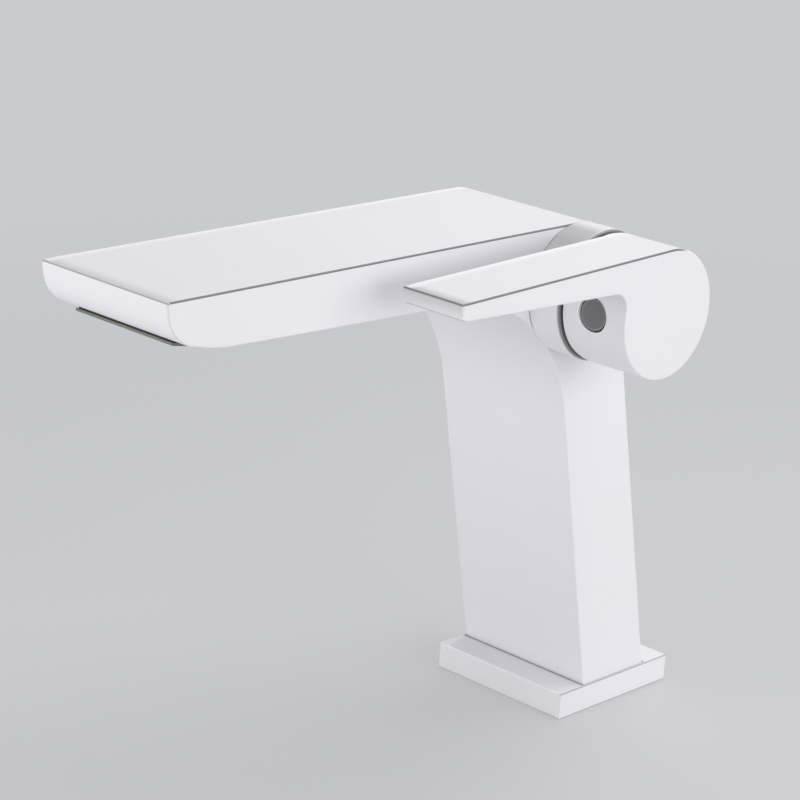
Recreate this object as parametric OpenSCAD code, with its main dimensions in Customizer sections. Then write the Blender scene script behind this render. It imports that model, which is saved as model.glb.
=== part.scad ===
// Waterfall basin tap with a side lever on a quarter-turn progressive cartridge.
// +X is the lever's side, the spout points along -Y and +Z is up.
// The origin is the middle of the base plate's underside, which rests on the basin.

/* [Base plate] */
// Side of the square base plate
plate_side = 50; // [49:0.5:66]
// Thickness of the base plate
plate_t = 8; // [7:0.5:12]
// Middle radius of the rubber seal under the plate
deck_seal_r = 19.5; // [18:0.5:21]
// Radial width of the rubber seal
deck_seal_w = 3; // [2:0.25:4]
// Thickness of the rubber seal
deck_seal_t = 1.8; // [1.2:0.1:2.6]

/* [Column] */
// Width of the column and of the spout
body_w = 48.5; // [47.5:0.5:49]
// Depth of the column where it meets the plate
column_d = 28; // [27.5:0.5:32]
// Lean of the column's front face from upright
front_lean = 12.5; // [11.5:0.25:13.5]
// Lean of the column's rear face from upright
rear_lean = 13; // [12:0.25:14]
// Radius of the hollow curve from the column's front to the spout's underside
throat_r = 51.5; // [40:0.5:60]
// Radius of the curve from the rear face to the flat top
heel_r = 18.6; // [18.2:0.1:20]

/* [Spout] */
// Height of the flat top above the basin
tap_h = 154.5; // [145:0.5:190]
// Reach of the spout's tip from the middle of the plate
spout_reach = 187.6; // [165:0.5:210]
// Thickness of the spout at its tip, before the chin is rounded
spout_t = 14; // [13.5:0.25:18]
// Fall of the spout's underside from the tip to the column
under_slope = 1.5; // [0:0.25:3]
// Lean of the nose from upright
nose_lean = 10; // [4:1:14]
// Slope of the chin behind the nose
chin_slope = 12.8; // [9:0.2:16]
// Length of the nose and chin along the spout
chin_run = 17.8; // [15:0.2:24]
// Radius between the nose and the chin
nose_r = 10.8; // [6:0.2:12]
// Radius between the chin and the underside
chin_r = 50; // [20:1:70]
// Wall over and under the waterway in the spout
spout_wall = 3.2; // [2:0.2:4]
// Width of the waterway in the spout
channel_w = 36; // [30:0.5:38]

/* [Outlet] */
// Width of the outlet insert
insert_w = 37.2; // [34:0.2:38.4]
// Depth of the outlet insert from front to back
insert_d = 12; // [10:0.5:14]
// Distance of the insert's front behind the spout's tip
insert_back = 7.3; // [6.8:0.1:9]
// How far the insert's face stands out of the chin at its front
insert_proud = 1.2; // [1:0.1:1.6]
// How much flatter the insert's face lies than the chin
insert_tilt = 2.8; // [2:0.1:3]
// Height of the insert's top above the underside's level at the tip
insert_h = 5.5; // [5:0.25:6.5]
// Rim of the insert round its water slots
insert_rim = 2.6; // [2.5:0.1:3.2]
// Number of water slots through the insert
slot_count = 12; // [6:1:14]
// Width of a water slot
slot_w = 1.6; // [1:0.1:1.8]

/* [Cartridge] */
// Radius of the cartridge housing
cartridge_r = 12.6; // [12.4:0.1:13]
// Radius of the ceramic discs' seat inside the housing
disc_seat_r = 11.1; // [10.8:0.1:11.2]
// Thickness of the cartridge's foot plate
foot_plate_t = 3.5; // [2.8:0.1:4.5]
// Thickness of the fixed ceramic disc
fixed_disc_t = 3.5; // [2.5:0.1:4]
// Thickness of the moving ceramic disc
moving_disc_t = 3; // [2.5:0.1:4]
// Thickness of the disc carrier
carrier_t = 4; // [3:0.1:5]
// Radius of the circle that the inlet ports lie on
port_ring_r = 7.6; // [7.4:0.1:7.8]
// Half of the angle between the inlet ports
port_half_angle = 26; // [26:0.5:28]
// Radius of an inlet port
inlet_port_r = 2.1; // [1.8:0.1:2.2]
// Radius of the outlet port
outlet_port_r = 2.8; // [2.4:0.1:2.9]
// Radius of the stem in the housing
stem_r = 4.5; // [4.2:0.1:5]
// Radius of the stem's splined end
spline_r = 4; // [3.6:0.1:4.1]
// Length of the housing's neck
neck_l = 9; // [7:0.5:11]
// Radius of the housing's neck
neck_r = 8; // [7.6:0.1:8.4]
// Turn of the lever from closed to fully hot
lever_travel = 90; // [89:1:100]

/* [Retaining nut and bonnet] */
// Radius of the retaining nut's thread
nut_r = 14.45; // [14:0.05:14.8]
// Width across the flats of the nut's hexagon
nut_flats = 27; // [26:0.5:27]
// Height of the nut's hexagon
hex_h = 3.75; // [3:0.25:5]
// Radius of the bonnet
bonnet_r = 18.95; // [18.6:0.05:20]
// Length of the bonnet along the lever's axis
bonnet_l = 10.95; // [9.5:0.05:13]
// Thickness of the bonnet's end wall
bonnet_end_t = 1.6; // [1.2:0.1:2.2]
// Chamfer round the bonnet's outer end
bonnet_chamfer = 0.7; // [0.3:0.1:1.2]

/* [Handle] */
// How far the lever's axis lies ahead of the middle of the heel's curve
hub_ahead = 0.55; // [0:0.05:1]
// Radius of the handle's round hub
hub_r = 18.5; // [18:0.1:20]
// Width of the handle along the lever's axis
handle_w = 21.2; // [19:0.2:26]
// Gap from the bonnet to the handle
handle_gap = 2; // [1.6:0.1:3]
// Length of the lever from its axis to its tip
lever_l = 84.4; // [70:0.2:110]
// Fall of the lever's top towards its tip
lever_fall = 1.8; // [0:0.2:3]
// Thickness of the lever at its tip
lever_tip_t = 4.7; // [3.5:0.1:6]
// Thickness of the lever where it leaves the hub
lever_root_t = 8.85; // [6:0.05:10]
// Lean of the lever's tip from upright
lever_tip_lean = 15; // [0:1:25]
// Radius under the lever where it leaves the hub
lever_root_r = 5; // [2:0.5:7]
// Radius of the lever's tip along its upper edge
lever_nose_r = 1; // [0.4:0.1:1.6]
// Depth of the hollow in the hub's inner face
hub_hollow_d = 4; // [3:0.25:4]
// Distance of the set screw from the handle's inner face
screw_in = 9.4; // [9:0.2:12]
// Radius of the index plug over the set screw
plug_r = 4.85; // [4:0.05:5.2]
// Radius of the set screw's thread
screw_r = 2.5; // [2:0.1:3]

/* [Water inlets and fixing] */
// Distance between the cold and the hot inlet
inlet_gap = 13; // [12:0.5:14]
// How far the inlets lie behind the middle of the plate
inlet_back = 3; // [2:0.5:3]
// Wall radius of an inlet thread
inlet_thread_r = 3.5; // [3.2:0.1:3.9]
// Depth of an inlet thread
inlet_depth = 12; // [9:0.5:16]
// How far the fixing stud's thread lies ahead of the middle of the plate
stud_ahead = 7.5; // [7:0.5:8]
// Wall radius of the fixing stud's thread
stud_thread_r = 3.4; // [2.6:0.1:3.6]
// Depth of the fixing stud's thread
stud_depth = 10; // [8:0.5:14]

/* [Fits] */
// Clearance round a piece that turns
turn_fit = 0.06; // [0.04:0.01:0.1]
// Clearance round a piece that is pushed in
push_fit = 0.05; // [0.03:0.01:0.1]
// Clearance round a piece that lies loose in its seat
loose_fit = 0.4; // [0.3:0.05:0.6]
// Space between pieces that pass each other
pass_gap = 0.35; // [0.3:0.05:0.5]
// Film of water between the ceramic discs
disc_film = 0.05; // [0.03:0.01:0.1]
// Radius of the section of an O-ring
ring_section = 0.9; // [0.8:0.05:0.95]

/* [Hidden] */
$fn = 96;

white = "#f2f2f4";
rubber_black = "#26272a";
plastic_grey = "#8f9389";
plastic_white = "#e4e4de";
plastic_blue = "#4d7fb3";
ceramic_white = "#f4f0e6";
brass_yellow = "#c9a84e";
steel_grey = "#9a9da1";
plug_grey = "#68686a";

// What cuts run past the faces that they open
over = 1;
half_w = body_w / 2;

function unit(v) = v / norm(v);
function turned(angle) = [cos(angle), sin(angle)];

// Crossing point of two lines, each given by a point and its angle in degrees
function crossing(p, a, q, b) =
    let (away = ((q[0] - p[0]) * sin(b) - (q[1] - p[1]) * cos(b)) / sin(b - a))
    p + away * turned(a);

// The outline's corners as seen from the lever's side, as [y, z] points
under_z = tap_h - spout_t;
foot_front = [-column_d / 2, plate_t];
foot_back = [column_d / 2, plate_t];
tip = [-spout_reach, tap_h];
chin = [chin_run - spout_reach, under_z - chin_run * tan(under_slope)];
nose = crossing(tip, nose_lean - 90, chin, 180 - chin_slope);
throat = crossing(chin, -under_slope, foot_front, 90 + front_lean);
heel = crossing(foot_back, 90 + rear_lean, tip, 0);
heel_middle = heel[0] - heel_r * tan(45 - rear_lean / 2);

hub_y = heel_middle - hub_ahead;
hub_z = tap_h - heel_r;

// Places along the lever's axis, from the floor of the cartridge's chamber outwards
nut_run = 17.25;
roof_t = 3;
stem_flange_t = 2;
stem_past = 5.5;
housing_top = half_w - nut_run;
housing_roof = housing_top - roof_t;
stem_base = housing_roof - pass_gap - stem_flange_t;
carrier_base = stem_base - carrier_t;
moving_base = carrier_base - moving_disc_t;
fixed_base = moving_base - disc_film - fixed_disc_t;
chamber_floor = fixed_base - foot_plate_t;
neck_end = housing_top + neck_l;
stop_h = 2;
limit_base = neck_end + stop_h + pass_gap;
limit_t = 2;
bonnet_end = half_w + bonnet_l;
handle_in = bonnet_end + handle_gap;
handle_out = handle_in + handle_w;
screw_x = handle_in + screw_in;
stem_end = screw_x + stem_past;

chamber_r = cartridge_r + push_fit;
mouth_r = nut_r + push_fit;

// Waterways in the casting, which run behind the chamber's floor
waterway_r = 2.4;
outlet_way_r = 3.2;
floor_wall = 2.1;
waterway_x = chamber_floor - floor_wall - outlet_way_r;
cold_port = port_ring_r * turned(port_half_angle - 90);
hot_port = port_ring_r * turned(-90 - port_half_angle);

// Round foot under the column, which the plate's bore centres
foot_step = 0.6;
foot_low = 1.2;
foot_r = column_d / 2 - foot_step;
foot_ring_z = (plate_t + foot_low) / 2;
inlet_top = foot_low + inlet_depth;
way_start_z = inlet_top - 1.5 * waterway_r;

// Room for an O-ring at each side of it in its groove
groove_play = 0.1;

// The insert's lip under the chin, its pocket, the screen over it and the rubber frame round it
lip_gap = 0.45;
lip_over = 0.5;
lip_t = insert_proud - lip_gap;
insert_front = insert_back - spout_reach;
insert_top = under_z + insert_h;
pocket_w = insert_w - 2 * lip_over;
pocket_d = insert_d - 2 * lip_over;
pocket_front = insert_front + lip_over;
pocket_low = chin[1] - insert_d;
screen_t = 0.8;
outlet_seal_t = 1.8;
outlet_seal_w = 0.7;

// The spout's waterway, from the outlet back to the wall round the nut's thread
channel_front = pocket_front + insert_rim;
channel_back = hub_y - mouth_r - spout_wall;

// Height of the insert's face at a place along the spout
function face_z(y) = chin[1] + (chin[0] - insert_front) * tan(chin_slope)
    - insert_proud / cos(chin_slope) - (y - insert_front) * tan(chin_slope - insert_tilt);

// The area between a corner and the arc of radius r that touches both of its sides. It reaches
// a little past the corner, so that no edge of it lies on an edge of the outline.
module corner_area(p, before, after, r) {
    u = unit(before - p);
    v = unit(after - p);
    half = acos(u * v) / 2;
    side = r / tan(half);
    middle = p + unit(u + v) * r / sin(half);
    past = 1 + over / r;
    difference() {
        polygon([for (q = [p, p + u * side, middle, p + v * side]) middle + past * (q - middle)]);
        translate(middle) circle(r = r);
    }
}

// Carries a drawing in [y, z] to a solid of the given width between x = low and x = low + width
module across(low, width) {
    translate([low, 0, 0]) rotate([90, 0, 90]) linear_extrude(height = width) children();
}

// Puts a solid on the lever's axis: its own z runs along +X from the place x
module on_axis(x) {
    translate([x, hub_y, hub_z]) rotate([90, 0, 90]) children();
}

// A straight round waterway from one point to the next, its seam turned clear of the other cuts
module waterway(from, to, r) {
    run = to - from;
    translate(from)
        rotate([0, acos(run[2] / norm(run)), atan2(run[1], run[0])])
            rotate([0, 0, 90]) cylinder(r = r, h = norm(run));
}

// A port from the chamber's floor through the waterway behind it, at a place round the lever's axis
module port_way(place, r) {
    on_axis(waterway_x - r) translate(place)
        cylinder(r = r, h = chamber_floor - waterway_x + r + over);
}

// A flat ring from x = base, of the given height
module flat_ring(outer, inner, height) {
    difference() {
        cylinder(r = outer, h = height);
        translate([0, 0, -over]) cylinder(r = inner, h = height + 2 * over);
    }
}

// A rubber O-ring lying flat, by the radius of its middle
module o_ring(middle) {
    rotate_extrude() translate([middle, 0]) circle(r = ring_section, $fn = 32);
}

// A groove for an O-ring that the piece of radius outer carries
module ring_groove(outer) {
    half_groove = ring_section + groove_play;
    translate([0, 0, -half_groove]) flat_ring(outer + over, outer - 2 * ring_section, 2 * half_groove);
}

// A wedge from the middle to the radius far, between two angles less than 180 apart
module wedge(first, last, far) {
    middle = (first + last) / 2;
    reach = far / cos((last - first) / 4);
    polygon([[0, 0], far * turned(first), reach * turned((first + middle) / 2),
             far * turned(middle), reach * turned((middle + last) / 2), far * turned(last)]);
}

// Side view of the column and the spout
module body_outline() {
    difference() {
        polygon([foot_front, throat, chin, nose, tip, heel, foot_back]);
        corner_area(chin, throat, nose, chin_r);
        corner_area(nose, chin, tip, nose_r);
        corner_area(heel, tip, foot_back, heel_r);
    }
    corner_area(throat, foot_front, chin, throat_r);
}

// Side view of the waterway in the spout
module channel_outline() {
    low = under_z + spout_wall / cos(under_slope);
    polygon([
        [channel_back, tap_h - spout_wall],
        [channel_front, tap_h - spout_wall],
        [channel_front, low - (channel_front + spout_reach) * tan(under_slope)],
        [channel_back, low - (channel_back + spout_reach) * tan(under_slope)]
    ]);
}

module body_waterways() {
    across(-channel_w / 2, channel_w) channel_outline();
    translate([-pocket_w / 2, pocket_front, pocket_low])
        cube([pocket_w, pocket_d, insert_top + screen_t + push_fit - pocket_low]);
    for (way = [[-1, cold_port], [1, hot_port]]) {
        bend = [waterway_x, hub_y + way[1][0], hub_z + way[1][1]];
        waterway([way[0] * inlet_gap / 2, inlet_back, way_start_z], bend, waterway_r);
        port_way(way[1], inlet_port_r);
    }
    waterway([waterway_x, hub_y, hub_z],
             [over - channel_w / 2, channel_back - 1.5 * outlet_way_r,
              tap_h - spout_wall - outlet_way_r - over],
             outlet_way_r);
    port_way([0, 0], outlet_port_r);
}

// Cast brass body: column, spout, cartridge chamber, waterways and the round foot
module body() {
    color(white) difference() {
        union() {
            across(-half_w, body_w) body_outline();
            translate([0, 0, foot_low]) cylinder(r = foot_r, h = plate_t - foot_low + over);
        }
        body_waterways();
        on_axis(chamber_floor) cylinder(r = chamber_r, h = half_w - chamber_floor + over);
        on_axis(housing_top) cylinder(r = mouth_r, h = nut_run + over);
        for (side = [-1, 1]) {
            translate([side * inlet_gap / 2, inlet_back, foot_low - over])
                cylinder(r = inlet_thread_r, h = inlet_depth + over);
        }
        translate([0, -stud_ahead, foot_low - over])
            cylinder(r = stud_thread_r, h = stud_depth + over);
        translate([0, 0, foot_ring_z]) ring_groove(foot_r);
    }
}

// Square plate that covers the basin's hole and centres the body's foot
module base_plate() {
    color(white) difference() {
        translate([-plate_side / 2, -plate_side / 2, 0]) cube([plate_side, plate_side, plate_t]);
        translate([0, 0, -over]) cylinder(r = foot_r + push_fit, h = plate_t + 2 * over);
        translate([0, 0, -over])
            flat_ring(deck_seal_r + deck_seal_w / 2 + push_fit,
                      deck_seal_r - deck_seal_w / 2 - push_fit, deck_seal_t + push_fit + over);
    }
}

module deck_seal() {
    color(rubber_black)
        flat_ring(deck_seal_r + deck_seal_w / 2, deck_seal_r - deck_seal_w / 2, deck_seal_t);
}

module foot_ring() {
    color(rubber_black) translate([0, 0, foot_ring_z]) o_ring(foot_r - ring_section + push_fit / 2);
}

// A block in the pocket, as far inside its walls as given, between two heights over the face
module face_block(inset, low, high) {
    front = pocket_front + inset;
    back = pocket_front + pocket_d - inset;
    across(inset - pocket_w / 2, pocket_w - 2 * inset) polygon([
        [front, face_z(front) + low], [back, face_z(back) + low],
        [back, face_z(back) + high], [front, face_z(front) + high]
    ]);
}

// Moulded insert that spreads the water into a sheet: a lip, a neck for the seal and a head
module outlet_insert() {
    neck_inset = outlet_seal_w + 2 * push_fit;
    head_low = lip_t + outlet_seal_t + push_fit;
    head_front = pocket_front + loose_fit;
    head_back = pocket_front + pocket_d - loose_fit;
    pitch = (insert_w - insert_rim) / slot_count;
    color(plastic_grey) difference() {
        union() {
            face_block(-lip_over, 0, lip_t);
            face_block(neck_inset, lip_t / 2, head_low + over / 2);
            across(loose_fit - pocket_w / 2, pocket_w - 2 * loose_fit) polygon([
                [head_front, face_z(head_front) + head_low], [head_back, face_z(head_back) + head_low],
                [head_back, insert_top], [head_front, insert_top]
            ]);
        }
        for (i = [0:slot_count - 1]) {
            translate([(i - (slot_count - 1) / 2) * pitch - slot_w / 2,
                       insert_front + insert_rim, pocket_low])
                cube([slot_w, insert_d - 2 * insert_rim, insert_top + over - pocket_low]);
        }
    }
}

// Rubber frame round the insert's neck, which shows as a dark line over its lip
module outlet_seal() {
    color(rubber_black) difference() {
        face_block(push_fit, lip_t, lip_t + outlet_seal_t);
        face_block(push_fit + outlet_seal_w, lip_t - over, lip_t + outlet_seal_t + over);
    }
}

// Pierced steel sheet over the insert, which holds back grit
module outlet_screen() {
    columns = 15;
    rows = 4;
    hole_r = 0.7;
    edge = 1;
    screen_w = pocket_w - 2 * loose_fit;
    screen_d = pocket_d - 2 * loose_fit;
    color(steel_grey) translate([0, insert_front + insert_d / 2, insert_top]) difference() {
        translate([-screen_w / 2, -screen_d / 2, 0]) cube([screen_w, screen_d, screen_t]);
        for (i = [0:columns - 1], j = [0:rows - 1]) {
            translate([(i + 0.5 - columns / 2) * (screen_w - 2 * edge) / columns,
                       (j + 0.5 - rows / 2) * (screen_d - 2 * edge) / rows, -over])
                cylinder(r = hole_r, h = screen_t + 2 * over, $fn = 24);
        }
    }
}

// Rubber sleeves that seal the ports against the chamber's floor
seal_wall = 1.05;
seal_t = 1.6;

// Moulded plate at the cartridge's foot, with a seat for each port's seal
module cartridge_foot() {
    color(plastic_white) on_axis(chamber_floor) difference() {
        cylinder(r = cartridge_r, h = foot_plate_t);
        for (port = [[cold_port, inlet_port_r], [hot_port, inlet_port_r], [[0, 0], outlet_port_r]]) {
            translate([port[0][0], port[0][1], -over]) {
                cylinder(r = port[1], h = foot_plate_t + 2 * over);
                cylinder(r = port[1] + seal_wall + push_fit, h = seal_t + over);
            }
        }
    }
}

module port_seal(place, port_r) {
    color(rubber_black) on_axis(chamber_floor) translate(place)
        flat_ring(port_r + seal_wall, port_r, seal_t);
}

module cold_port_seal() {
    port_seal(cold_port, inlet_port_r);
}

module hot_port_seal() {
    port_seal(hot_port, inlet_port_r);
}

module outlet_port_seal() {
    port_seal([0, 0], outlet_port_r);
}

// Ceramic disc that lies still, with the three ports
module fixed_disc() {
    color(ceramic_white) on_axis(fixed_base) difference() {
        cylinder(r = disc_seat_r - push_fit, h = fixed_disc_t);
        for (port = [[cold_port, inlet_port_r], [hot_port, inlet_port_r], [[0, 0], outlet_port_r]]) {
            translate([port[0][0], port[0][1], -over])
                cylinder(r = port[1], h = fixed_disc_t + 2 * over);
        }
    }
}

// The stops and the lug that runs between them: angles round the lever's axis in [y, z]
stop_play = 1;
limit_lug_angle = 30;
limit_lug_first = 120;
stop_high = limit_lug_first + limit_lug_angle + stop_play;
stop_low = limit_lug_first - lever_travel - stop_play;
stop_middle = (stop_high + stop_low + 360) / 2;
stop_in_r = stem_r + ring_section;

// Moulded housing that holds the discs and guides the stem
module cartridge_housing() {
    color(plastic_white) difference() {
        union() {
            on_axis(fixed_base) cylinder(r = cartridge_r, h = housing_top - fixed_base);
            on_axis(housing_top - over) cylinder(r = neck_r, h = neck_l + over);
            on_axis(neck_end - over) linear_extrude(height = stop_h + over) difference() {
                intersection() {
                    circle(r = neck_r);
                    union() {
                        wedge(stop_high, stop_middle, 2 * neck_r);
                        wedge(stop_middle, stop_low + 360, 2 * neck_r);
                    }
                }
                circle(r = stop_in_r);
            }
        }
        on_axis(fixed_base - over) cylinder(r = disc_seat_r, h = housing_roof - fixed_base + over);
        on_axis(housing_roof - over)
            cylinder(r = stem_r + turn_fit, h = neck_end - housing_roof + 2 * over);
        on_axis(housing_roof + roof_t / 2) ring_groove(cartridge_r);
    }
}

module housing_ring() {
    color(rubber_black) on_axis(housing_roof + roof_t / 2)
        o_ring(cartridge_r - ring_section + push_fit / 2);
}

// The nut's sleeve, which the bonnet is pushed on, and the bonnet's wider bore over the hexagon
neck_gap = 1;
nut_bore_r = neck_r + neck_gap;
nut_end = bonnet_end - bonnet_end_t - push_fit;
hex_r = nut_flats / sqrt(3);
sleeve_step = 0.1;
sleeve_r = nut_r - sleeve_step;
bonnet_ring_x = (half_w + hex_h + nut_end) / 2;

// Brass nut that clamps the cartridge and carries the bonnet
module retaining_nut() {
    color(brass_yellow) difference() {
        union() {
            on_axis(housing_top) cylinder(r = nut_r, h = nut_run);
            on_axis(half_w) cylinder(r = hex_r, h = hex_h, $fn = 6);
            on_axis(half_w + hex_h) cylinder(r = sleeve_r, h = nut_end - half_w - hex_h);
        }
        on_axis(housing_top - over) cylinder(r = nut_bore_r, h = nut_end - housing_top + 2 * over);
        on_axis(bonnet_ring_x) ring_groove(sleeve_r);
    }
}

// White cap that is pushed on the nut's sleeve and hides the nut
module bonnet() {
    color(white) on_axis(half_w) difference() {
        rotate_extrude() polygon([
            [0, 0], [bonnet_r, 0], [bonnet_r, bonnet_l - bonnet_chamfer],
            [bonnet_r - bonnet_chamfer, bonnet_l], [0, bonnet_l]
        ]);
        translate([0, 0, -over]) cylinder(r = hex_r + loose_fit, h = hex_h + loose_fit + over);
        cylinder(r = sleeve_r + push_fit, h = bonnet_l - bonnet_end_t);
        cylinder(r = nut_bore_r, h = bonnet_l + over);
    }
}

module bonnet_ring() {
    color(rubber_black) on_axis(bonnet_ring_x) o_ring(sleeve_r - ring_section + push_fit / 2);
}

// Where the mixing hollow lies when the tap is closed, and how far it reaches to each side
hollow_land = 7;
hollow_half = port_half_angle - hollow_land;
hollow_middle = lever_travel - 90 - port_half_angle;
hollow_depth = 1.6;
disc_margin = 0.5;
moving_disc_r = disc_seat_r - disc_margin;

// Keys between the moving disc and its carrier, and the stem's tongue in the carrier's slot
key_w = 3;
key_h = 1.2;
key_in = 1.5;
tongue_h = 2;
tongue_in = 3;
tongue_l = 2 * (moving_disc_r - tongue_in) - loose_fit;

// Ceramic disc that turns with the lever, with the hollow that joins the ports
module moving_disc() {
    color(ceramic_white) on_axis(moving_base) difference() {
        cylinder(r = moving_disc_r, h = moving_disc_t);
        translate([0, 0, -over]) linear_extrude(height = hollow_depth + over) {
            intersection() {
                circle(r = port_ring_r + inlet_port_r);
                wedge(hollow_middle - hollow_half, hollow_middle + hollow_half, 2 * port_ring_r);
            }
            circle(r = outlet_port_r);
        }
        for (side = [-1, 1]) {
            translate([side * (moving_disc_r - key_in) - key_w / 2, -key_w, moving_disc_t - key_h])
                cube([key_w, 2 * key_w, key_h + over]);
        }
    }
}

// Moulded carrier that keys the moving disc to the stem
module disc_carrier() {
    color(plastic_blue) on_axis(carrier_base) {
        difference() {
            cylinder(r = moving_disc_r, h = carrier_t);
            translate([-key_w / 2 - push_fit, tongue_in - moving_disc_r, carrier_t - tongue_h])
                cube([key_w + 2 * push_fit, 2 * (moving_disc_r - tongue_in), tongue_h + over]);
        }
        intersection() {
            translate([0, 0, push_fit - key_h])
                cylinder(r = moving_disc_r, h = key_h + carrier_t / 2);
            for (side = [-1, 1]) {
                translate([side * (moving_disc_r - key_in) - key_w / 2 + push_fit,
                           push_fit - key_w, push_fit - key_h])
                    cube([key_w - 2 * push_fit, 2 * (key_w - push_fit), key_h + carrier_t / 2]);
            }
        }
    }
}

stem_ring_x = housing_top + neck_l / 2;
flat_d = 0.6;
flat_y = hub_y - spline_r + flat_d;

// Stem that carries the lever's turn to the disc carrier
module stem() {
    color(brass_yellow) difference() {
        union() {
            on_axis(stem_base - tongue_h + push_fit) translate([-key_w / 2, -tongue_l / 2, 0])
                cube([key_w, tongue_l, tongue_h]);
            on_axis(stem_base) cylinder(r = moving_disc_r - key_in, h = stem_flange_t);
            on_axis(stem_base) cylinder(r = stem_r, h = limit_base - stem_base);
            on_axis(limit_base - over) cylinder(r = spline_r, h = stem_end - limit_base + over);
        }
        on_axis(stem_ring_x) ring_groove(stem_r);
        translate([limit_base + limit_t + over, flat_y - spline_r, hub_z - spline_r])
            cube([stem_end, spline_r, 2 * spline_r]);
    }
}

module stem_ring() {
    color(rubber_black) on_axis(stem_ring_x) o_ring(stem_r - ring_section + turn_fit / 2);
}

// Ring on the stem's splines whose lug runs between the housing's stops
module limit_ring() {
    color(plastic_blue) {
        on_axis(limit_base) flat_ring(neck_r, spline_r + push_fit, limit_t);
        on_axis(limit_base - stop_h) linear_extrude(height = stop_h + over / 2) difference() {
            intersection() {
                circle(r = neck_r);
                wedge(limit_lug_first, limit_lug_first + limit_lug_angle, 2 * neck_r);
            }
            circle(r = stop_in_r);
        }
    }
}

// The glide ring's face, its clearance from the bonnet and the spigot that holds it in the hub
glide_edge = 0.4;
glide_w = 3;
glide_clear = 0.75;
glide_spigot_w = 1.8;
glide_spigot_h = 1.4;
glide_out = hub_r - glide_edge;
glide_in = glide_out - glide_w;

// Grey ring in the gap, which keeps the handle's face off the bonnet
module glide_ring() {
    color(plastic_grey) {
        on_axis(bonnet_end + glide_clear) flat_ring(glide_out, glide_in, handle_gap - glide_clear);
        on_axis(handle_in - over / 2)
            flat_ring(glide_in + glide_spigot_w, glide_in, glide_spigot_h + over / 2);
    }
}

hub_front = hub_y - hub_r;
lever_top = [hub_y, hub_z] + hub_r * turned(90 + lever_fall);
lever_tip_y = hub_y - lever_l;
lever_tip = [lever_tip_y, lever_top[1] - (lever_top[0] - lever_tip_y) * tan(lever_fall)];
lever_root = [hub_front, lever_top[1] - (lever_top[0] - hub_front) * tan(lever_fall) - lever_root_t];
lever_under_angle = atan((lever_tip[1] - lever_tip_t - lever_root[1]) / (hub_front - lever_tip_y));
lever_lip = crossing(lever_root, 180 - lever_under_angle, lever_tip, lever_tip_lean - 90);
lever_lip_r = 0.8 * lever_nose_r;

// Side view of the hub and the lever
module handle_outline() {
    difference() {
        polygon([lever_top, lever_tip, lever_lip, lever_root, [hub_front, hub_z], [hub_y, hub_z]]);
        corner_area(lever_tip, lever_top, lever_lip, lever_nose_r);
        corner_area(lever_lip, lever_tip, lever_root, lever_lip_r);
    }
    corner_area(lever_root, lever_lip, [hub_front, hub_z], lever_root_r);
    translate([hub_y, hub_z]) circle(r = hub_r);
}

// The boss on the stem, and the plug's seat over the set screw
boss_wall = 3.5;
boss_r = spline_r + boss_wall;
plug_t = 2.6;
plug_sink = 0.1;
plug_seat_r = plug_r + 2 * push_fit;
plug_face = hub_y - sqrt(hub_r * hub_r - plug_seat_r * plug_seat_r) + plug_sink;
screw_sink = 1;
socket_d = 2.5;

// Cast handle: round hub and flat lever in one
module handle() {
    color(white) difference() {
        across(handle_in, handle_w) handle_outline();
        on_axis(handle_in - over) flat_ring(glide_in, boss_r, hub_hollow_d + over);
        on_axis(handle_in - over)
            flat_ring(glide_in + glide_spigot_w + push_fit, glide_in - over,
                      glide_spigot_h + push_fit + over);
        on_axis(handle_in - over)
            cylinder(r = spline_r + push_fit, h = stem_end - handle_in + loose_fit + over);
        translate([screw_x, plug_face + plug_t, hub_z]) rotate([90, 0, 0])
            cylinder(r = plug_seat_r, h = hub_r);
        translate([screw_x, hub_y, hub_z]) rotate([90, 0, 0])
            cylinder(r = screw_r + push_fit, h = hub_r);
    }
}

// Set screw that clamps the handle on the stem's flat
module set_screw() {
    screw_l = flat_y - push_fit - (plug_face + plug_t) - screw_sink;
    color(steel_grey) translate([screw_x, flat_y - push_fit, hub_z]) rotate([90, 0, 0]) difference() {
        cylinder(r = screw_r, h = screw_l);
        translate([0, 0, screw_l - socket_d])
            cylinder(r = screw_r / sqrt(3), h = socket_d + over, $fn = 6);
    }
}

// Grey plug that covers the set screw
module index_plug() {
    lead = 0.3;
    edge = 0.45;
    color(plug_grey) translate([screw_x, plug_face + plug_t, hub_z]) rotate([90, 0, 0])
        rotate_extrude() polygon([
            [0, 0], [plug_r - lead, 0], [plug_r, lead], [plug_r, plug_t - edge],
            [plug_r - edge, plug_t], [0, plug_t]
        ]);
}

body();
base_plate();
deck_seal();
foot_ring();
outlet_insert();
outlet_seal();
outlet_screen();
cartridge_foot();
cold_port_seal();
hot_port_seal();
outlet_port_seal();
fixed_disc();
cartridge_housing();
housing_ring();
retaining_nut();
bonnet();
bonnet_ring();
moving_disc();
disc_carrier();
stem();
stem_ring();
limit_ring();
glide_ring();
handle();
set_screw();
index_plug();
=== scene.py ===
import math

import bmesh
import bpy
import numpy as np
from mathutils import Matrix, Vector
from mathutils.geometry import tessellate_polygon


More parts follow.
